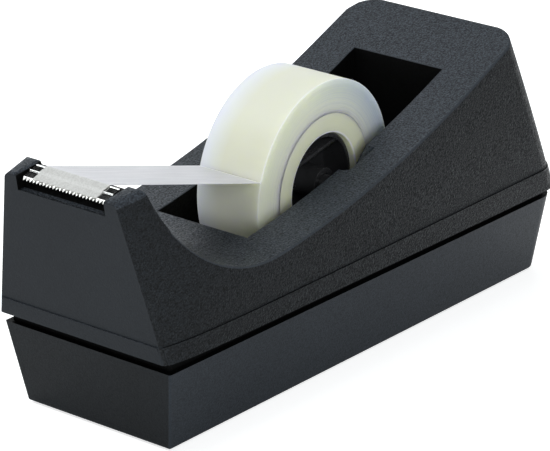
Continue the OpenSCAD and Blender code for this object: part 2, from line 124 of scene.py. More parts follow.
# How much painted light each face's skin gets by the way it faces: 0 is the finish's dark colour, 1
# its light one; rounded edges get a painted highlight
PAINTED_EDGE_HIGHLIGHT = 1.0
PAINTED_TOP_LIGHT = 0.92
PAINTED_FRONT_LIGHT = 0.45
PAINTED_BAND_LIGHT = 0.3
PAINTED_BAND_FRONT_LIGHT = 0.15
PAINTED_BASE_SIDE_LIGHT = 0.45
PAINTED_BASE_EDGE_HIGHLIGHT = 0.6

# Cutter, as in the solid it stands for
SHEET_T = 0.5 * MM
SHEET_TILT = math.radians(18.5)
SHEET_LEN = 4.8 * MM
SHEET_BEND = 0.3 * MM
SHEET_END = 0.08 * MM
ROLL_EDGE_R = 0.35 * MM
RIB_AT = 2.3 * MM
RIB_R = 0.25 * MM
TOOTH_LEN = 0.9 * MM
TOOTH_TIP_T = 0.16 * MM
TOOTH_TOP_DROP = 0.38 * MM
TOOTH_LOW_DROP = 0.3 * MM
TEETH = 25

# Reel
CORE_BORE_R = 12.9 * MM
CORE_EDGE = 0.35 * MM
SEAM = 0.02 * MM
WOUND_EDGE = 0.12 * MM
WOUND_LAYERS = 56
WOUND_RELIEF = 0.045 * MM
WOUND_SIDES = 256
CORE_SIDES = 192
HUB_LIP_R = 12 * MM
HUB_LIP_Y = 8 * MM

# Loose end
TAPE_T = 0.1 * MM
TAPE_LIFT = 0.06 * MM
TAPE_COLUMNS = 24
SHORT_STEP = 0.5 * MM
LONG_STEP = 1.6 * MM
SHORT_RUN = 6 * MM
CUT_DEPTH = 0.22 * MM
PEEL_ANGLE = math.radians(164.6)
PEEL_LINE = 0.45 * MM

SEED = 7

# Colours: the two ends that each finish varies between
# The housing and base plastics go from their dark end to their light one by painted light
STYRENE = (0.0036, 0.0048, 0.0060), (0.0285, 0.0340, 0.0420)
BASE_STYRENE = (0.0044, 0.0060, 0.0075), (0.0310, 0.0385, 0.049)
# Painted shade: near-black where shade falls, in the well, the grooves, under the teeth and at the
# base's neck
PAINTED_SHADE = (0.0006, 0.0007, 0.0007), (0.0014, 0.0015, 0.0015)
SHEET_STEEL = (0.70, 0.70, 0.69), (0.86, 0.86, 0.85)
TOOTH_STEEL = (0.66, 0.65, 0.61), (0.80, 0.80, 0.77)
REEL_BLACK = (0.017, 0.017, 0.018)
CREAM = (0.715, 0.715, 0.585), (0.765, 0.765, 0.67)
# Painted light on the roll: paler and bluer towards the far rim, a painted highlight along the near
# rim
PAINTED_FAR_RIM_LIGHT = (0.76, 0.785, 0.85)
PAINTED_NEAR_RIM_HIGHLIGHT = (0.82, 0.83, 0.80)
# Painted shade on the roll's faces: from lit cream to a darker blue towards +X and the outside
WOUND_FACE_LIT_TO_SHADED = (0.755, 0.77, 0.61), (0.34, 0.41, 0.56)
LAYER_LINE = (0.52, 0.56, 0.63)
CORE_WARM = (0.74, 0.755, 0.55), (0.82, 0.83, 0.66)
CORE_STAIN = (0.74, 0.77, 0.54)
# Painted highlight along the core's bore edge
PAINTED_BORE_HIGHLIGHT = (0.95, 0.96, 0.92)
FREE_FILM = (0.68, 0.67, 0.71), (0.745, 0.735, 0.755)
FILM_ON_STEEL = (0.62, 0.61, 0.585), (0.76, 0.755, 0.73)
# Painted highlight along the line where the film leaves the roll
PAINTED_PEEL_HIGHLIGHT = (0.96, 0.96, 0.94)
IRON = (0.10, 0.10, 0.105), (0.17, 0.145, 0.12)
FOAM = (0.018, 0.018, 0.019), (0.05, 0.05, 0.052)
FOAM_DUST = (0.08, 0.08, 0.08)
ZINC = (0.50, 0.51, 0.52), (0.66, 0.66, 0.64)

# Studio: lamps by name, place, size in metres and power in watts
COOL = (0.94, 0.98, 1.0)
LAMPS = (("top", (-0.2, 0.38, 0.84), (0.9, 0.9), 7.6),
         ("back", (0.6, 0.56, 0.34), (0.5, 0.4), 1.2),
         ("fill", (-0.5, -0.75, 0.35), (0.6, 0.6), 5.2),
         ("edge", (0.7, -0.35, 0.5), (0.35, 0.35), 1.0))
FLOOR_SIZE = 4.0
FLOOR_GREY = (0.82, 0.82, 0.82, 1)
FLOOR_GLOW = 0.68
MIRRORED_FAR_END = 1.3
MIRRORED_SIDE = -0.075, -0.035
MIRRORED_AHEAD = -0.28, -0.11
WORLD_LIGHT = 0.14
FLAG_SIZE = 0.16
FLAG_TOWARDS = Vector((0.381, 0.565, 0.732))
FLAG_AWAY = 0.5
WHITE = (1, 1, 1, 1)


# ---------------------------------------------------------------- camera

def camera_axes():
    azimuth = math.radians(CAMERA_AZIMUTH)
    elevation = math.radians(CAMERA_ELEVATION)
    roll = math.radians(CAMERA_ROLL)
    forward = Vector((math.cos(elevation) * math.cos(azimuth),
                      math.cos(elevation) * math.sin(azimuth),
                      -math.sin(elevation)))
    level = forward.cross(UP).normalized()
    upright = level.cross(forward)
    right = math.cos(roll) * level + math.sin(roll) * upright
    return right, right.cross(forward), forward


def add_camera():
    right, up, forward = camera_axes()
    place = middle + AIM_OFFSET - forward * CAMERA_DISTANCE
    data = bpy.data.cameras.new("camera")
    data.lens = CAMERA_LENS
    data.sensor_fit = "HORIZONTAL"
    data.sensor_width = CAMERA_SENSOR
    camera = bpy.data.objects.new("camera", data)
    camera.matrix_world = Matrix((
        (right.x, up.x, -forward.x, place.x),
        (right.y, up.y, -forward.y, place.y),
        (right.z, up.z, -forward.z, place.z),
        (0, 0, 0, 1)))
    scene.collection.objects.link(camera)
    scene.camera = camera


# ---------------------------------------------------------------- node trees

def fill(socket, value, tree):
    """Sets an input, or links it where the value is another node's output"""
    if isinstance(value, bpy.types.NodeSocket):
        tree.links.new(value, socket)
    else:
        socket.default_value = value


def add(tree, kind, inputs=None, **settings):
    """Adds a node, with its settings and its inputs by name or number"""
    node = tree.nodes.new(kind)
    for key, value in settings.items():
        setattr(node, key, value)
    for key, value in (inputs or {}).items():
        fill(node.inputs[key], value, tree)
    return node


def math_node(tree, operation, *values):
    node = add(tree, "ShaderNodeMath", operation=operation)
    for slot, value in zip(node.inputs, values):
        fill(slot, value, tree)
    return node.outputs[0]


def vector_node(tree, operation, *values):
    node = add(tree, "ShaderNodeVectorMath", operation=operation)
    for slot, value in zip(node.inputs, values):
        fill(slot, value, tree)
    return node.outputs["Value" if operation == "LENGTH" else "Vector"]


def scaled(tree, vector, factor):
    """A vector or colour times a number"""
    return add(tree, "ShaderNodeVectorMath", {"Vector": vector, "Scale": factor},
               operation="SCALE").outputs["Vector"]


def spread(tree, value, low, high, to_low=0.0, to_high=1.0):
    """Stretches a value between two limits onto another range"""
    return add(tree, "ShaderNodeMapRange", {
        "Value": value, "From Min": low, "From Max": high,
        "To Min": to_low, "To Max": to_high}).outputs["Result"]


def mix_color(tree, factor, a, b):
    node = add(tree, "ShaderNodeMix", data_type="RGBA")
    fill(node.inputs["Factor"], factor, tree)
    fill(node.inputs["A"], a if isinstance(a, bpy.types.NodeSocket) else (*a, 1), tree)
    fill(node.inputs["B"], b if isinstance(b, bpy.types.NodeSocket) else (*b, 1), tree)
    return node.outputs["Result"]


def sockets(tree, inputs, outputs):
    """Names the inputs and outputs of a node group"""
    for name, (kind, default) in inputs.items():
        socket = tree.interface.new_socket(name, in_out="INPUT", socket_type=kind)
        if default is not None:
            socket.default_value = default
    for name, kind in outputs.items():
        tree.interface.new_socket(name, in_out="OUTPUT", socket_type=kind)
    return tree.nodes.new("NodeGroupInput").outputs, tree.nodes.new("NodeGroupOutput").inputs


NUMBER = "NodeSocketFloat"
VECTOR = "NodeSocketVector"


def spark_grain_group():
    """Grain that a spark-eroded mould leaves: small rounded pits of uneven size"""
    tree = bpy.data.node_groups.new("spark grain", "ShaderNodeTree")
    given, out = sockets(
        tree,
        {"Vector": (VECTOR, None), "Grains per Metre": (NUMBER, 2500.0),
         "Unevenness": (NUMBER, 0.5)},
        {"Height": NUMBER, "Speckle": NUMBER})
    fine = add(tree, "ShaderNodeTexNoise", {
        "Vector": given["Vector"], "Scale": given["Grains per Metre"],
        "Detail": 2.0, "Roughness": given["Unevenness"]})
    coarse = add(tree, "ShaderNodeTexNoise", {
        "Vector": given["Vector"],
        "Scale": math_node(tree, "MULTIPLY", given["Grains per Metre"], 0.38),
        "Detail": 1.0, "Roughness": given["Unevenness"]})
    pits = add(tree, "ShaderNodeTexVoronoi", {
        "Vector": given["Vector"],
        "Scale": math_node(tree, "MULTIPLY", given["Grains per Metre"], 0.8),
        "Smoothness": 0.7}, feature="SMOOTH_F1")
    height = math_node(tree, "ADD", fine.outputs["Fac"],
                       math_node(tree, "MULTIPLY", pits.outputs["Distance"], 0.5))
    tree.links.new(height, out["Height"])
    both = math_node(tree, "ADD", math_node(tree, "MULTIPLY", fine.outputs["Fac"], 0.85),
                     math_node(tree, "MULTIPLY", coarse.outputs["Fac"], 0.15))
    tree.links.new(spread(tree, both, 0.36, 0.64), out["Speckle"])
    return tree


def handling_group():
    """Soft uneven patches that handling leaves on a surface"""
    tree = bpy.data.node_groups.new("handling marks", "ShaderNodeTree")
    given, out = sockets(
        tree,
        {"Vector": (VECTOR, None), "Patches per Metre": (NUMBER, 40.0)},
        {"Mask": NUMBER})
    patches = add(tree, "ShaderNodeTexNoise", {
        "Vector": given["Vector"], "Scale": given["Patches per Metre"],
        "Detail": 4.0, "Roughness": 0.6, "Distortion": 0.4})
    tree.links.new(spread(tree, patches.outputs["Fac"], 0.3, 0.7), out["Mask"])
    return tree


def drawn_lines_group():
    """Fine lines along one direction, as rolling and grinding leave on sheet metal"""
    tree = bpy.data.node_groups.new("drawn lines", "ShaderNodeTree")
    given, out = sockets(
        tree,
        {"Vector": (VECTOR, None), "Stretch": (VECTOR, (1.0, 1.0, 1.0)),
         "Lines per Metre": (NUMBER, 6000.0)},
        {"Height": NUMBER})
    stretched = vector_node(tree, "MULTIPLY", given["Vector"], given["Stretch"])
    lines = add(tree, "ShaderNodeTexNoise", {
        "Vector": stretched, "Scale": given["Lines per Metre"],
        "Detail": 3.0, "Roughness": 0.6})
    tree.links.new(lines.outputs["Fac"], out["Height"])
    return tree


def windings_group():
    """Edges of wound layers: uneven rings round the reel's axis, with soft patches"""
    tree = bpy.data.node_groups.new("windings", "ShaderNodeTree")
    given, out = sockets(
        tree,
        {"Vector": (VECTOR, None), "Axis": (VECTOR, (0.0, 0.0, 0.0)),
         "Rings per Metre": (NUMBER, 4000.0)},
        {"Radius": NUMBER, "Ring": NUMBER, "Patch": NUMBER})
    arm = vector_node(tree, "SUBTRACT", given["Vector"], given["Axis"])
    flat = vector_node(tree, "MULTIPLY", arm, (1.0, 0.0, 1.0))
    radius = vector_node(tree, "LENGTH", flat)
    tree.links.new(radius, out["Radius"])
    along = add(tree, "ShaderNodeCombineXYZ", {
        "X": math_node(tree, "MULTIPLY", radius, given["Rings per Metre"]), "Y": 0.0, "Z": 0.0})
    wander = add(tree, "ShaderNodeTexNoise", {
        "Vector": vector_node(tree, "ADD", along.outputs["Vector"], flat),
        "Scale": 1.0, "Detail": 2.0, "Roughness": 0.7})
    tree.links.new(wander.outputs["Fac"], out["Ring"])
    patches = add(tree, "ShaderNodeTexNoise", {"Vector": flat, "Scale": 45.0, "Detail": 1.0})
    tree.links.new(spread(tree, patches.outputs["Fac"], 0.35, 0.65), out["Patch"])
    return tree


GRAIN = spark_grain_group()
HANDLING = handling_group()
DRAWN = drawn_lines_group()
WINDINGS = windings_group()


def use(tree, kind, **inputs):
    """Places a shared effect in a material with its own values"""
    node = tree.nodes.new("ShaderNodeGroup")
    node.node_tree = kind
    for key, value in inputs.items():
        fill(node.inputs[key.replace("_", " ")], value, tree)
    return node.outputs


def material(name, **plain):
    """A new material with its main shader's plain values set on the shader's own inputs"""
    made = bpy.data.materials.new(name)
    made.use_nodes = True
    tree = made.node_tree
    shader = tree.nodes["Principled BSDF"]
    for key, value in plain.items():
        shader.inputs[key.replace("_", " ")].default_value = value
    place = tree.nodes.new("ShaderNodeTexCoord").outputs["Object"]
    return made, tree, shader.inputs, place


def bump(tree, height, strength, distance):
    return add(tree, "ShaderNodeBump", {
        "Strength": strength, "Distance": distance, "Height": height}).outputs["Normal"]


def dress(tree, shader, color, rough, relief):
    """Links a finish's colour, roughness and relief to its main shader"""
    for name, value in (("Base Color", color), ("Roughness", rough), ("Normal", relief)):
        tree.links.new(value, shader[name])


# ---------------------------------------------------------------- finishes

def grained_styrene(name, dark, light, grains, depth, rough):
    """Black styrene: attributes say how deep its spark grain is and how much painted light its skin
    gets
    """
    made, tree, shader, place = material(name, IOR=1.5, Specular_IOR_Level=0.24)
    grain = use(tree, GRAIN, Vector=place, Grains_per_Metre=grains, Unevenness=0.5)
    marks = use(tree, HANDLING, Vector=place, Patches_per_Metre=26.0)
    skin = add(tree, "ShaderNodeAttribute", attribute_name="grained").outputs["Fac"]
    painted_light = add(tree, "ShaderNodeAttribute", attribute_name="painted_light").outputs["Fac"]
    # Painted light of each face, with a little lightening from handling marks
    lightening = math_node(tree, "ADD", painted_light, math_node(tree, "MULTIPLY", marks["Mask"], 0.12))
    specks = math_node(tree, "MULTIPLY", spread(tree, grain["Speckle"], 0.0, 1.0, -0.9, 0.9), skin)
    dull = math_node(tree, "MULTIPLY", spread(tree, grain["Speckle"], 0.0, 1.0, 0.2, -0.2), skin)
    height = math_node(tree, "MULTIPLY", grain["Height"], spread(tree, skin, 0.0, 1.0, 0.12, 1.0))
    dress(tree, shader,
          scaled(tree, mix_color(tree, lightening, dark, light), math_node(tree, "ADD", specks, 1.0)),
          math_node(tree, "ADD", dull, rough),
          bump(tree, height, 1.0, depth))
    return made


def painted_shade_black():
    """Near-black painted shade for the well, the grooves, the recess under the teeth and the base's
    neck
    """
    made, tree, shader, place = material("painted recess shade", IOR=1.45, Specular_IOR_Level=0.1)
    marks = use(tree, HANDLING, Vector=place, Patches_per_Metre=60.0)
    grain = use(tree, GRAIN, Vector=place, Grains_per_Metre=1700.0, Unevenness=0.5)
    dress(tree, shader,
          mix_color(tree, marks["Mask"], *PAINTED_SHADE),
          spread(tree, grain["Speckle"], 0.0, 1.0, 0.5, 0.7),
          bump(tree, grain["Height"], 0.6, 0.06 * MM))
    return made


def polished_steel():
    """Bright rolled sheet, with lines across it and the marks of fingers"""
    made, tree, shader, place = material("cutter steel", Metallic=1.0)
    lines = use(tree, DRAWN, Vector=place, Stretch=(0.25, 1.0, 0.25), Lines_per_Metre=2600.0)
    marks = use(tree, HANDLING, Vector=place, Patches_per_Metre=320.0)
    dress(tree, shader,
          mix_color(tree, marks["Mask"], *SHEET_STEEL),
          spread(tree, lines["Height"], 0.3, 0.7, 0.06, 0.16),
          bump(tree, lines["Height"], 0.25, 0.03 * MM))
    return made


def ground_steel():
    """Ground and bright metal of the teeth"""
    made, tree, shader, place = material("tooth steel", Metallic=1.0)
    lines = use(tree, DRAWN, Vector=place, Stretch=(0.1, 1.0, 0.1), Lines_per_Metre=5200.0)
    dress(tree, shader,
          mix_color(tree, lines["Height"], *TOOTH_STEEL),
          spread(tree, lines["Height"], 0.3, 0.7, 0.32, 0.5),
          bump(tree, lines["Height"], 0.3, 0.03 * MM))
    return made


def gloss_plastic(name, color):
    """Smooth black plastic of the hub and its axle, with faint lines round it"""
    made, tree, shader, place = material(name, IOR=1.52)
    marks = use(tree, HANDLING, Vector=place, Patches_per_Metre=90.0)
    swirl = use(tree, DRAWN, Vector=place, Stretch=(1.0, 0.05, 1.0), Lines_per_Metre=900.0)
    lightening = tuple(2.2 * c for c in color)
    dress(tree, shader,
          mix_color(tree, marks["Mask"], color, lightening),
          spread(tree, marks["Mask"], 0.0, 1.0, 0.16, 0.3),
          bump(tree, swirl["Height"], 0.15, 0.02 * MM))
    return made


def wound_tape(axis, r_in, r_out, half):
    """The wound roll: creamy film with painted light along its rims, and layer lines on its faces,
    which get painted shade towards +X
    """
    made, tree, shader, place = material(
        "wound tape", IOR=1.48, Specular_IOR_Level=0.3, Subsurface_Weight=1.0,
        Subsurface_Radius=(0.95, 1.0, 0.7), Subsurface_Scale=6.0 * MM)
    rings = use(tree, WINDINGS, Vector=place, Axis=axis, Rings_per_Metre=3200.0)
    split = add(tree, "ShaderNodeSeparateXYZ", {"Vector": place}).outputs
    across = math_node(tree, "ABSOLUTE", split["Y"])
    # Painted highlight along the near rim, paler and bluer painted light towards the far rim
    near_rim_highlight = spread(tree, split["Y"], -half + 0.1 * MM, -half + 0.45 * MM, 0.9, 0.0)
    far_rim_light = spread(tree, split["Y"], 0.3 * half, half)
    cream = mix_color(tree, rings["Patch"], *CREAM)
    tread = mix_color(tree, near_rim_highlight, mix_color(tree, far_rim_light, cream, PAINTED_FAR_RIM_LIGHT), PAINTED_NEAR_RIM_HIGHLIGHT)
    outwards = spread(tree, rings["Radius"], r_in, r_out)
    # Painted shade, darker and bluer, towards +X and the outside of each face; the layer lines show
    # more there
    painted_rear_shade = spread(tree, split["X"], axis.x - 0.3 * r_out, axis.x + 0.75 * r_out)
    face = mix_color(tree, math_node(tree, "MULTIPLY", outwards, painted_rear_shade), *WOUND_FACE_LIT_TO_SHADED)
    layers = math_node(tree, "MULTIPLY", spread(tree, rings["Ring"], 0.40, 0.60, 0.0, 0.75),
                       math_node(tree, "ADD", math_node(tree, "MULTIPLY", painted_rear_shade, 0.7), 0.3))
    lined = mix_color(tree, layers, face, LAYER_LINE)
    on_face = math_node(tree, "GREATER_THAN", across, half - 0.115 * MM)
    dress(tree, shader,
          mix_color(tree, on_face, tread, lined),
          spread(tree, rings["Ring"], 0.2, 0.8, 0.45, 0.6),
          bump(tree, rings["Ring"], 0.4, 0.06 * MM))
    return made


def core_plastic(axis):
    """The tape's core: milky plastic, a little stained, with a painted highlight along its bore's
    edge
    """
    made, tree, shader, place = material(
        "core plastic", IOR=1.5, Subsurface_Weight=0.6,
        Subsurface_Radius=(0.95, 1.0, 0.5), Subsurface_Scale=3.0 * MM)
    rings = use(tree, WINDINGS, Vector=place, Axis=axis, Rings_per_Metre=900.0)
    marks = use(tree, HANDLING, Vector=place, Patches_per_Metre=120.0)
    warm = mix_color(tree, rings["Ring"], *CORE_WARM)
    stained = mix_color(tree, math_node(tree, "MULTIPLY", marks["Mask"], 0.4), warm, CORE_STAIN)
    # Painted highlight: a white ring just outside the bore
    past_bore = spread(tree, rings["Radius"], CORE_BORE_R, CORE_BORE_R + 0.1 * MM)
    before_face = spread(tree, rings["Radius"], CORE_BORE_R + 0.3 * MM, CORE_BORE_R + 0.6 * MM,
                         1.0, 0.0)
    bore_highlight = math_node(tree, "MULTIPLY", past_bore, before_face)
    dress(tree, shader,
          mix_color(tree, bore_highlight, stained, PAINTED_BORE_HIGHLIGHT),
          spread(tree, marks["Mask"], 0.0, 1.0, 0.25, 0.4),
          bump(tree, rings["Ring"], 0.2, 0.05 * MM))
    return made


def loose_film():
    """One layer of frosted film: milky, a little see-through, with an opaque painted highlight
    along the line where it leaves the roll
    """
    made, tree, shader, place = material("tape film", IOR=1.48)
    frost = use(tree, GRAIN, Vector=place, Grains_per_Metre=2600.0, Unevenness=0.6)
    drawn = use(tree, DRAWN, Vector=place, Stretch=(0.06, 1.0, 0.06), Lines_per_Metre=900.0)
    peel = add(tree, "ShaderNodeAttribute", attribute_name="peel").outputs["Fac"]
    pressed = add(tree, "ShaderNodeAttribute", attribute_name="pressed").outputs["Fac"]
    free = mix_color(tree, drawn["Height"], *FREE_FILM)
    on_steel = mix_color(tree, frost["Speckle"], *FILM_ON_STEEL)
    milky = mix_color(tree, pressed, free, on_steel)
    dress(tree, shader,
          # Painted highlight along the peel line
          mix_color(tree, peel, milky, PAINTED_PEEL_HIGHLIGHT),
          spread(tree, frost["Speckle"], 0.0, 1.0, 0.3, 0.45),
          bump(tree, frost["Height"], 0.2, 0.01 * MM))
    cover = spread(tree, drawn["Height"], 0.3, 0.7, 0.78, 0.86)
    tree.links.new(math_node(tree, "MAXIMUM", cover, peel), shader["Alpha"])
    return made


def cast_iron():
    """Rough sand-cast weight with a little rust"""
    made, tree, shader, place = material("cast weight", Metallic=0.8)
    sand = use(tree, GRAIN, Vector=place, Grains_per_Metre=1300.0, Unevenness=0.7)
    rust = use(tree, HANDLING, Vector=place, Patches_per_Metre=60.0)
    dress(tree, shader,
          mix_color(tree, rust["Mask"], *IRON),
          spread(tree, sand["Speckle"], 0.0, 1.0, 0.55, 0.8),
          bump(tree, sand["Height"], 0.8, 0.15 * MM))
    return made


def pad_foam():
    """Dark cellular foam that grips the desk, with dust in it"""
    made, tree, shader, place = material("pad foam", IOR=1.45)
    cells = use(tree, GRAIN, Vector=place, Grains_per_Metre=1500.0, Unevenness=0.4)
    marks = use(tree, HANDLING, Vector=place, Patches_per_Metre=35.0)
    clean = mix_color(tree, cells["Speckle"], *FOAM)
    dress(tree, shader,
          mix_color(tree, math_node(tree, "MULTIPLY", marks["Mask"], 0.3), clean, FOAM_DUST),
          spread(tree, cells["Speckle"], 0.0, 1.0, 0.8, 0.95),
          bump(tree, cells["Height"], 0.9, 0.2 * MM))
    return made


def screw_zinc():
    """Zinc plating of the screws"""
    made, tree, shader, place = material("screw zinc", Metallic=1.0)
    marks = use(tree, HANDLING, Vector=place, Patches_per_Metre=500.0)
    lines = use(tree, DRAWN, Vector=place, Stretch=(1.0, 1.0, 0.1), Lines_per_Metre=4000.0)
    dress(tree, shader,
          mix_color(tree, marks["Mask"], *ZINC),
          spread(tree, marks["Mask"], 0.0, 1.0, 0.25, 0.45),
          bump(tree, lines["Height"], 0.2, 0.02 * MM))
    return made


# ---------------------------------------------------------------- pieces

def mesh_piece(name, bm, finish, smooth=True):
    """Makes an object from the built mesh, with its place in the mesh"""
    mesh = bpy.data.meshes.new(name)
    bm.to_mesh(mesh)
    bm.free()
    for face in mesh.polygons:
        face.use_smooth = smooth
    mesh.materials.append(finish)
    piece = bpy.data.objects.new(name, mesh)
    scene.collection.objects.link(piece)
    return piece


def stand_for(piece, body, slot, *nodes):
    """Lets the piece ride on a body in place of the nodes' solids; the slot it is given is not used
    """
    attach(piece, body)
    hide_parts(*nodes)


def rounded_copy(node, name, finish, choose, segments=3):
    """A copy of the node's solid whose chosen edges are rounded, each by its own radius"""
    bm = bmesh.new()
    bm.from_mesh(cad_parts[node].data)
    bmesh.ops.remove_doubles(bm, verts=bm.verts, dist=WELD)
    bmesh.ops.dissolve_degenerate(bm, edges=bm.edges, dist=WELD)
    bmesh.ops.dissolve_limit(bm, angle_limit=FLAT_ANGLE, verts=bm.verts, edges=bm.edges)
    bm.normal_update()
    by_radius = {}
    for edge in bm.edges:
        if len(edge.link_faces) == 2 and edge.calc_face_angle(0) > SHARP_ANGLE and edge.is_convex:
            radius = choose(edge)
            if radius:
                by_radius.setdefault(radius, []).append(edge)
    rounded = bm.faces.layers.int.new("rounded")
    for radius in sorted(by_radius, reverse=True):
        edges = [e for e in by_radius[radius] if e.is_valid]
        made = bmesh.ops.bevel(bm, geom=edges, offset=radius, offset_type="OFFSET",
                               segments=segments, profile=0.5, affect="EDGES", clamp_overlap=False)
        for face in made["faces"]:
            face[rounded] = 1
    bm.normal_update()
    piece = mesh_piece(name, bm, finish)
    smooth_rounding(piece)
    return piece


def smooth_rounding(piece):
    """Smooth shading across the rounded edges, with the large faces kept flat"""
    piece.data.set_sharp_from_angle(angle=CREASE_ANGLE)
    modifier = piece.modifiers.new("weighted", "WEIGHTED_NORMAL")
    modifier.keep_sharp = True
    modifier.weight = 80
    bake(piece)


def bake(piece):
    """Applies what the piece's modifiers make and removes them"""
    graph = bpy.context.evaluated_depsgraph_get()
    made = bpy.data.meshes.new_from_object(
        piece.evaluated_get(graph), preserve_all_data_layers=True, depsgraph=graph)
    piece.modifiers.clear()
    piece.data = made


def mark_skin(piece, skin):
    """Stores on each face how deep its grain is and how much painted light it gets"""
    faces = piece.data.polygons
    rounded = piece.data.attributes["rounded"].data
    values = [skin(f, rounded[f.index].value) for f in faces]
    for name, column in (("grained", 0), ("painted_light", 1)):
        layer = piece.data.attributes.new(name, "FLOAT", "FACE")
        layer.data.foreach_set("value", [v[column] for v in values])


# Housing: which edges are rounded, where the grain and painted light are, and where the painted
# shade goes
def housing_edge_radius(edge):
    """Foot and top edges of the outer skin and the well's rim are rounded, the notch stays sharp"""
    a, b = (f.normal for f in edge.link_faces)
    p = (edge.verts[0].co + edge.verts[1].co) / 2
    low, high = housing_low, housing_high
    near_cheek = p.x < cutter_low.x + CHEEK_REAR and p.z > CHEEK_LOW
    if near_cheek and edge.calc_length() < CHEEK_SHORT_EDGE:
        return 0
    if p.z < low.z + 0.5 * MM:
        outer = max(a.dot(p - middle), b.dot(p - middle)) > 0
        on_skin = abs(p.y) > 0.8 * high.y or not low.x + 8 * MM <= p.x <= high.x - 3 * MM
        return HOUSING_FOOT_ROUND if outer and on_skin else 0
    tops = sum(n.z > 0.3 for n in (a, b))
    walls = sum(abs(n.z) < 0.3 for n in (a, b))
    if tops != 1 or walls != 1 or p.z < SCOOP_LOW - 1 * MM:
        return 0
    if abs(p.y) < WELL_HALF + 5 * MM and well_front - 1 * MM < p.x < well_rear + 1 * MM:
        return WELL_RIM_ROUND
    return 0 if in_notch(p) else HOUSING_ROUND


def in_notch(p):
    """Between the cheeks, where the cutter sits"""
    return p.x < cutter_low.x + NOTCH_REAR and abs(p.y) < cutter_high.y + NOTCH_SIDE


def housing_skin(face, rounded):
    """Depth of grain and painted light: grain deep on sides and top, nearly smooth in front and on
    the band; painted light on top, in front and on the band, and a painted highlight on rounded
    edges
    """
    n = face.normal
    on_top = min(1, max(0, (n.z - 0.15) / 0.4))
    in_front = min(1, max(0, (-n.x - 0.75) / 0.15))
    if face.center.z < band_top(face.center.x):
        return BAND_GRAIN, PAINTED_BAND_LIGHT + PAINTED_BAND_FRONT_LIGHT * in_front
    if rounded:
        return EDGE_GRAIN, PAINTED_EDGE_HIGHLIGHT
    on_side = (1 - in_front) * (1 - on_top)
    grained = SIDE_GRAIN * on_side + TOP_GRAIN * on_top + FRONT_GRAIN * in_front
    return grained, max(PAINTED_TOP_LIGHT * on_top, PAINTED_FRONT_LIGHT * in_front)


def under_teeth(p):
    """Recess below the cutter, which gets the painted shade"""
    return (abs(p.y) < cutter_high.y + RECESS_SIDE and p.x < cutter_high.x + 1 * MM
            and cutter_low.z - RECESS_DEPTH < p.z < cutter_high.z)


def in_groove(face):
    """Walls of the two open grooves that the axle lies in"""
    p = face.center
    return (WELL_HALF - WELL_SLACK < abs(p.y) < WELL_HALF + GROOVE_DEPTH and face.normal.z < 0.7
            and axis.x - GROOVE_AHEAD < p.x < axis.x + GROOVE_BEHIND and p.z > axis.z - GROOVE_FOOT)


def in_well(face):
    """Walls and floor of the well"""
    p = face.center
    along = well_front - WELL_SLACK < p.x < well_rear + WELL_SLACK
    return (abs(p.y) <= WELL_HALF + WELL_SLACK and along
            and (face.normal.z < 0.3 or p.z < SCOOP_LOW - 2 * MM))


def band_top(x):
    """Height of the line where the smooth band round the foot ends"""
    return housing_low.z + BAND_HEIGHT + (x - housing_low.x) * math.tan(BAND_SLOPE)


cutter_low, cutter_high = (Vector(v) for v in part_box("cutter_blade"))
housing_low, housing_high = (Vector(v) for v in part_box("upper_housing"))
base_low, base_high = (Vector(v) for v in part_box("base_tray"))
roll_low, roll_high = (Vector(v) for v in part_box("tape_roll"))
core_low, core_high = (Vector(v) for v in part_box("tape_core"))
axis = (roll_low + roll_high) / 2
roll_r = (roll_high.x - roll_low.x) / 2
core_r = (core_high.x - core_low.x) / 2
tape_half = (roll_high.y - roll_low.y) / 2
well_front = axis.x - WELL_AHEAD
well_rear = axis.x + WELL_BEHIND

styrene = grained_styrene("housing plastic", *STYRENE, grains=2300.0, depth=0.19 * MM, rough=0.5)
base_styrene = grained_styrene("base plastic", *BASE_STYRENE,
                               grains=2600.0, depth=0.09 * MM, rough=0.48)
recess_shade = painted_shade_black()
steel = polished_steel()
ground = ground_steel()
gloss = gloss_plastic("reel plastic", REEL_BLACK)
tape = wound_tape(axis, core_r, roll_r, tape_half)
core_finish = core_plastic(axis)
film = loose_film()
iron = cast_iron()
foam = pad_foam()
zinc = screw_zinc()


def housing():
    piece = rounded_copy("upper_housing", "housing_shell", styrene, housing_edge_radius)
    mark_skin(piece, housing_skin)
    piece.data.materials.append(recess_shade)
    for face in piece.data.polygons:
        # The well, the grooves and the recess under the teeth get the painted shade
        face.material_index = int(in_well(face) or in_groove(face) or under_teeth(face.center))
    stand_for(piece, "housing", "housing_plastic", "upper_housing")


def base_edge_radius(edge):
    """Edges of the base's outer walls are rounded, those of its neck stay sharp"""
    p = (edge.verts[0].co + edge.verts[1].co) / 2
    outside = (abs(p.y) > base_high.y - 5 * MM
               or not base_low.x + 6 * MM <= p.x <= base_high.x - 5 * MM)
    outwards = Vector((p.x, p.y * 3, 0))
    on_wall = any(f.normal.dot(outwards) > 0 and abs(f.normal.z) < 0.5 for f in edge.link_faces)
    return BASE_ROUND if outside and on_wall and p.z <= base_high.z - NECK_MARGIN else 0


def base_skin(face, rounded):
    """Depth of grain and painted light: fine grain all over, painted light on the long sides and a
    painted highlight on rounded edges
    """
    if rounded:
        return EDGE_GRAIN, PAINTED_BASE_EDGE_HIGHLIGHT
    return BASE_GRAIN, PAINTED_BASE_SIDE_LIGHT if abs(face.normal.y) > 0.6 else 0.0


def base():
    piece = rounded_copy("base_tray", "base_shell", base_styrene, base_edge_radius)
    mark_skin(piece, base_skin)
    piece.data.materials.append(recess_shade)
    for face in piece.data.polygons:
        # The neck under the housing's overhang gets the painted shade of the joint
        face.material_index = int(face.center.z > base_high.z - NECK_HEIGHT)
    stand_for(piece, "housing", "base_plastic", "base_tray")


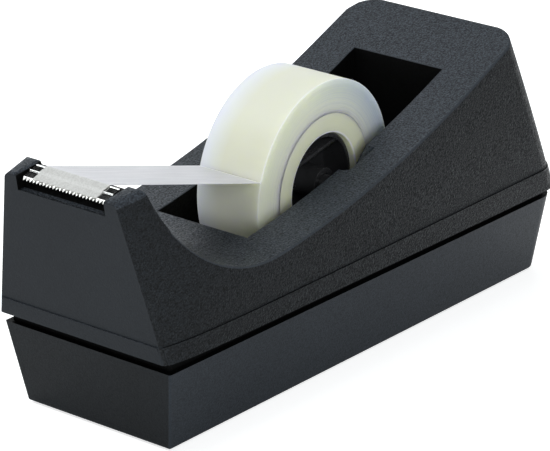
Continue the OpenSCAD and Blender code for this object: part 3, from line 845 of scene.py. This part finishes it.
# Cutter: the sheet with its rolled edge and rib, and the row of teeth
def cutter_frame():
    """Rear edge of the sheet's top face, with the directions down the sheet and out of it"""
    centre = Vector((cutter_high.x - ROLL_EDGE_R, 0, cutter_high.z - ROLL_EDGE_R))
    out = Vector((-math.sin(SHEET_TILT), 0, math.cos(SHEET_TILT)))
    down = Vector((-math.cos(SHEET_TILT), 0, -math.sin(SHEET_TILT)))
    return centre + out * SHEET_T / 2, down, out


def arc(centre, radius, start, end, steps):
    """Points along an arc, from one angle in degrees to another"""
    return [(centre[0] + radius * math.cos(math.radians(start + (end - start) * i / steps)),
             centre[1] + radius * math.sin(math.radians(start + (end - start) * i / steps)))
            for i in range(steps + 1)]


def sheet_outline():
    """Closed side outline of the sheet, s down the sheet and h above its top face"""
    hook = arc((0.0, -SHEET_T / 2), ROLL_EDGE_R, 45, 315, 12)
    rib = arc((RIB_AT, -0.02 * MM), RIB_R, 175, 5, 8)
    near, far = SHEET_BEND, 1.4 * SHEET_BEND
    top = [(s, 0.0) for s in (near, far, RIB_AT - far, RIB_AT - near)] + rib
    top += [(s, 0.0) for s in (RIB_AT + near, RIB_AT + far, SHEET_LEN - 0.5 * MM)]
    top.append((SHEET_LEN, -0.06 * MM))
    bottom = [(SHEET_LEN, -SHEET_T), (SHEET_LEN - 1.0 * MM, -SHEET_T)]
    groove = arc((RIB_AT, -SHEET_T - 0.02 * MM), 0.7 * RIB_R, 5, 175, 6)
    return top + bottom + groove + hook[::-1]


def join_rings(bm, a, b):
    """Closes the wall between two rings of as many points"""
    for i in range(len(a)):
        j = (i + 1) % len(a)
        bm.faces.new((a[i], a[j], b[j], b[i]))


def cutter():
    origin, down, out = cutter_frame()
    half = cutter_high.y
    bm = bmesh.new()
    outline = sheet_outline()
    stations = (-half, -half + SHEET_END, -0.5 * half, 0, 0.5 * half, half - SHEET_END, half)
    rings = [[bm.verts.new(origin + down * s + out * h + Vector((0, y, 0))) for s, h in outline]
             for y in stations]
    for a, b in zip(rings, rings[1:]):
        join_rings(bm, a, b)
    bm.faces.new(rings[0][::-1])
    bm.faces.new(rings[-1])
    bmesh.ops.recalc_face_normals(bm, faces=bm.faces)
    sheet = mesh_piece("cutter_sheet", bm, steel)
    sheet.data.set_sharp_from_angle(angle=TURNED_CREASE)
    teeth = toothed_edge(origin, down, out, half)
    for piece in (sheet, teeth):
        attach(piece, "housing")
    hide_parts("cutter_blade")
    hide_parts("cutter_blade")


def one_tooth(pitch, down, out):
    """A ground tooth: a pointed prism that dips towards its tip"""
    bm = bmesh.new()
    across = Vector((0, 1, 0))
    stations = ((-0.05 * MM, 0.5, SHEET_T), (0.35 * TOOTH_LEN, 0.33, 0.8 * SHEET_T),
                (TOOTH_LEN, 0.03, TOOTH_TIP_T))
    points = []
    for s, width, thick in stations:
        reach = max(s, 0) / TOOTH_LEN
        for side in (-1, 1):
            for level in (-TOOTH_TOP_DROP * reach, -thick - TOOTH_LOW_DROP * reach):
                points.append(bm.verts.new(down * s + across * side * width * pitch + out * level))
    for k in (0, 4):
        a, b, c, d, e, f, g, h = points[k:k + 8]
        for corners in ((a, c, g, e), (b, f, h, d), (a, e, f, b), (c, d, h, g)):
            bm.faces.new(corners)
    bm.faces.new((points[0], points[1], points[3], points[2]))
    bm.faces.new((points[8], points[10], points[11], points[9]))
    bmesh.ops.recalc_face_normals(bm, faces=bm.faces)
    return mesh_piece("tooth", bm, ground, smooth=False)


def toothed_edge(origin, down, out, half):
    """The row of teeth, repeated along the sheet's front edge by geometry nodes"""
    pitch = 2 * half / TEETH
    tooth = one_tooth(pitch, down, out)
    tree = bpy.data.node_groups.new("row of teeth", "GeometryNodeTree")
    given, result = sockets(
        tree,
        {"Geometry": ("NodeSocketGeometry", None), "Count": ("NodeSocketInt", TEETH),
         "Pitch": (NUMBER, 1.0 * MM), "First": (VECTOR, (0.0, 0.0, 0.0)),
         "Finish": ("NodeSocketMaterial", None)},
        {"Geometry": "NodeSocketGeometry"})
    step = add(tree, "ShaderNodeCombineXYZ", {"X": 0.0, "Y": given["Pitch"], "Z": 0.0})
    row = add(tree, "GeometryNodeMeshLine", {
        "Count": given["Count"], "Start Location": given["First"],
        "Offset": step.outputs["Vector"]}, mode="OFFSET")
    placed = add(tree, "GeometryNodeInstanceOnPoints", {
        "Points": row.outputs["Mesh"], "Instance": given["Geometry"]})
    real = add(tree, "GeometryNodeRealizeInstances", {"Geometry": placed.outputs["Instances"]})
    finished = add(tree, "GeometryNodeSetMaterial", {
        "Geometry": real.outputs["Geometry"], "Material": given["Finish"]})
    tree.links.new(finished.outputs["Geometry"], result["Geometry"])
    first = origin + down * SHEET_LEN + Vector((0, -half + pitch / 2, 0))
    run_nodes(tooth, tree, {"Count": TEETH, "Pitch": pitch, "First": first, "Finish": ground})
    tooth.name = tooth.data.name = "cutter_teeth"
    return tooth


def run_nodes(piece, tree, values):
    """Runs a geometry node tree on a piece and keeps its result as a plain mesh"""
    modifier = piece.modifiers.new("nodes", "NODES")
    modifier.node_group = tree
    for item in tree.interface.items_tree:
        if item.item_type == "SOCKET" and item.in_out == "INPUT" and item.name in values:
            modifier[item.identifier] = values[item.name]
    bake(piece)


# Reel: lathe-turned roll and core round the axle
def turned(name, finish, outline, segments):
    """Turns a closed outline of (radius, y) points round the reel's axis"""
    bm = bmesh.new()
    rings = []
    for k in range(segments):
        angle = 2 * math.pi * k / segments
        ray = Vector((math.cos(angle), 0, math.sin(angle)))
        rings.append([bm.verts.new(axis + ray * r + Vector((0, y, 0))) for r, y in outline])
    for k in range(segments):
        join_rings(bm, rings[k], rings[(k + 1) % segments])
    bmesh.ops.recalc_face_normals(bm, faces=bm.faces)
    piece = mesh_piece(name, bm, finish)
    piece.data.set_sharp_from_angle(angle=TURNED_CREASE)
    return piece


def uneven(count):
    """Seeded values between 0 and 1, the same in each run"""
    state, span = SEED, 2 ** 31
    values = []
    for _ in range(count):
        state = (state * 1103515245 + 12345) % span
        values.append(state / span)
    return values


def layered_face(r_in, r_out, y):
    """Points across a wound face, whose layers lie back by uneven amounts"""
    points = []
    for i, wander in enumerate(uneven(WOUND_LAYERS + 1)):
        r = r_in + (r_out - r_in) * i / WOUND_LAYERS
        inset = WOUND_RELIEF * (0.2 + 0.8 * wander) if 0 < i < WOUND_LAYERS else 0.0
        points.append((r, y - inset))
    return points


def roll():
    face = layered_face(core_r + SEAM, roll_r - WOUND_EDGE, tape_half)
    rim = tape_half - WOUND_EDGE
    outline = face + [(roll_r, rim), (roll_r, -rim)] + [(r, -y) for r, y in reversed(face)]
    piece = turned("wound_roll", tape, outline, WOUND_SIDES)
    stand_for(piece, "reel", "tape_film", "tape_roll")


def core():
    edge, y = CORE_EDGE, tape_half
    outline = [(CORE_BORE_R, y - edge), (CORE_BORE_R + 0.3 * edge, y - 0.3 * edge),
               (CORE_BORE_R + edge, y), (core_r - SEAM, y), (core_r, y - SEAM)]
    outline += [(r, -h) for r, h in reversed(outline)]
    piece = turned("core_ring", core_finish, outline, CORE_SIDES)
    stand_for(piece, "reel", "core_plastic", "tape_core")


def hub():
    piece = rounded_copy("core_hub", "hub_shell", gloss, hub_edge_radius, segments=2)
    stand_for(piece, "reel", "reel_plastic", "core_hub")


def hub_edge_radius(edge):
    """The hub's lips and the ends of its barrel are rounded, as rings round the axle"""
    one, other = (v.co - axis for v in edge.verts)
    radius = math.hypot(one.x, one.z)
    ring = abs(one.y - other.y) < WELD and abs(radius - math.hypot(other.x, other.z)) < WELD
    return HUB_ROUND if ring and radius < HUB_LIP_R and abs(one.y) > HUB_LIP_Y else 0


# Loose end: from the teeth over the rib and the rolled edge, then straight to the roll
def strip_path():
    """Corners of the film's underside, the last two being the rolled edge and the roll"""
    origin, down, out = cutter_frame()

    def on_sheet(s, h):
        return origin + down * s + out * h

    start = on_sheet(SHEET_LEN + 0.35 * TOOTH_LEN, TAPE_LIFT - 0.02 * MM)
    before_rib = on_sheet(RIB_AT + 1.9 * RIB_R, TAPE_LIFT)
    crest = on_sheet(RIB_AT, RIB_R + TAPE_LIFT)
    edge_top = on_sheet(0, -SHEET_T / 2) + UP * (ROLL_EDGE_R + 2 * TAPE_LIFT)
    ray = Vector((math.cos(PEEL_ANGLE), 0, math.sin(PEEL_ANGLE)))
    peel = axis + ray * (roll_r + 0.12 * MM)
    return [start, before_rib, crest, edge_top, peel]


def strip_stations(path):
    """Points along the path: close together over the cutter, wider apart in the free run"""
    points = []
    for a, b in zip(path, path[1:]):
        run = (b - a).length
        steps = max(1, round(run / (SHORT_STEP if run < SHORT_RUN else LONG_STEP)))
        points += [a.lerp(b, i / steps) for i in range(steps)]
    return points + [points[-1].lerp(path[-1], 0.72), path[-1]]


def strip_rows(bm, points):
    """Rows of points across the film, above and below, with the first one saw-cut"""
    tops, lows = [], []
    for i, p in enumerate(points):
        toward = points[min(i + 1, len(points) - 1)] - points[max(i - 1, 0)]
        normal = Vector((-toward.z, 0, toward.x)).normalized()
        if normal.z < 0:
            normal = -normal
        top, low = [], []
        for k in range(TAPE_COLUMNS + 1):
            y = -tape_half + 2 * tape_half * k / TAPE_COLUMNS
            cut = CUT_DEPTH * (1 if k % 2 else -1) if i == 0 else 0.0
            base = p + Vector((-cut, y, 0))
            top.append(bm.verts.new(base + normal * TAPE_T))
            low.append(bm.verts.new(base))
        tops.append(top)
        lows.append(low)
    return tops, lows


def loose_end():
    path = strip_path()
    points = strip_stations(path)
    bm = bmesh.new()
    tops, lows = strip_rows(bm, points)
    for i in range(len(points) - 1):
        for k in range(TAPE_COLUMNS):
            a, b = tops[i], tops[i + 1]
            bm.faces.new((a[k], a[k + 1], b[k + 1], b[k]))
            a, b = lows[i], lows[i + 1]
            bm.faces.new((a[k], b[k], b[k + 1], a[k + 1]))
        for k in (0, TAPE_COLUMNS):
            bm.faces.new((tops[i][k], tops[i + 1][k], lows[i + 1][k], lows[i][k]))
    for i in (0, len(points) - 1):
        for k in range(TAPE_COLUMNS):
            bm.faces.new((tops[i][k], lows[i][k], lows[i][k + 1], tops[i][k + 1]))
    bmesh.ops.recalc_face_normals(bm, faces=bm.faces)
    piece = mesh_piece("loose_tape", bm, film)
    piece.data.set_sharp_from_angle(angle=FILM_CREASE)
    across = Vector((0, 1, 0))
    marks = {"peel": lambda p: (p - path[-1]).cross(across).length < PEEL_LINE,
             "pressed": lambda p: p.x < cutter_high.x}
    for name, holds in marks.items():
        layer = piece.data.attributes.new(name, "FLOAT", "FACE")
        layer.data.foreach_set("value", [float(holds(f.center)) for f in piece.data.polygons])
    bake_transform(piece)
    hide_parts("tape_strip")


def plain_nodes():
    """Solids whose own shape is right keep it and get their finish"""
    finishes = {"ballast_weight": iron, "non_slip_pad": foam, "assembly_screws": zinc,
                "spindle_axle": gloss}
    for node, finish in finishes.items():
        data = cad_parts[node].data
        data.materials.clear()
        data.materials.append(finish)


# ---------------------------------------------------------------- studio

def lamp(name, place, size, power):
    """A soft rectangular lamp that faces the object"""
    data = bpy.data.lights.new(name, "AREA")
    data.shape = "RECTANGLE"
    data.size, data.size_y = size
    data.energy = power
    data.color = COOL
    light = bpy.data.objects.new(name, data)
    light.location = place
    light.rotation_euler = (middle - Vector(place)).to_track_quat("-Z", "Y").to_euler()
    scene.collection.objects.link(light)


def shown_white(tree, shader, place):
    """The floor's glow: even to the eye and graded in mirrors, and dull surfaces get none"""
    path = tree.nodes.new("ShaderNodeLightPath").outputs
    split = add(tree, "ShaderNodeSeparateXYZ", {"Vector": place}).outputs
    along = spread(tree, split["X"], cad_low[0], MIRRORED_FAR_END * cad_high[0])
    behind = math_node(tree, "POWER", along, 3.0)
    beside = math_node(tree, "MULTIPLY", behind, spread(tree, split["Y"], *MIRRORED_SIDE, 0.0, 0.6))
    ahead = spread(tree, split["X"], *MIRRORED_AHEAD, 0.35, 0.0)
    mirrored = math_node(tree, "MAXIMUM", path["Is Glossy Ray"], path["Is Transmission Ray"])
    graded = math_node(tree, "MULTIPLY", mirrored, math_node(tree, "ADD", beside, ahead))
    seen = math_node(tree, "MULTIPLY", path["Is Camera Ray"], FLOOR_GLOW)
    tree.links.new(math_node(tree, "ADD", graded, seen), shader["Emission Strength"])


def studio_floor():
    bm = bmesh.new()
    bmesh.ops.create_grid(bm, x_segments=1, y_segments=1, size=FLOOR_SIZE)
    made, tree, shader, place = material("floor paper", Roughness=0.9, Specular_IOR_Level=0.1,
                                         Base_Color=FLOOR_GREY, Emission_Color=WHITE)
    shown_white(tree, shader, place)
    floor = mesh_piece("floor", bm, made, smooth=False)


def studio_world():
    world = bpy.data.worlds.new("studio")
    scene.world = world
    world.use_nodes = True
    tree = world.node_tree
    background = tree.nodes["Background"]
    path = tree.nodes.new("ShaderNodeLightPath").outputs
    background.inputs["Color"].default_value = WHITE
    tree.links.new(spread(tree, path["Is Camera Ray"], 0.0, 1.0, WORLD_LIGHT, 1.0),
                   background.inputs["Strength"])


def black_flag():
    """Board that shiny surfaces mirror as a dark patch, and that nothing else sees"""
    bm = bmesh.new()
    bmesh.ops.create_grid(bm, x_segments=1, y_segments=1, size=FLAG_SIZE)
    cloth = material("flag cloth", Roughness=0.9, Specular_IOR_Level=0.0,
                     Base_Color=(0.01, 0.01, 0.01, 1))[0]
    turn = FLAG_TOWARDS.to_track_quat("Z", "Y").to_matrix().to_4x4()
    shift = Matrix.Translation(cutter_low + FLAG_TOWARDS * FLAG_AWAY)
    bmesh.ops.transform(bm, matrix=shift @ turn, verts=bm.verts)
    flag = mesh_piece("flag", bm, cloth, smooth=False)
    flag.visible_camera = flag.visible_diffuse = False
    flag.visible_shadow = flag.visible_transmission = False


add_camera()
studio_floor()
studio_world()
black_flag()
for setting in LAMPS:
    lamp(*setting)

housing()
base()
cutter()
roll()
core()
hub()
loose_end()
plain_nodes()
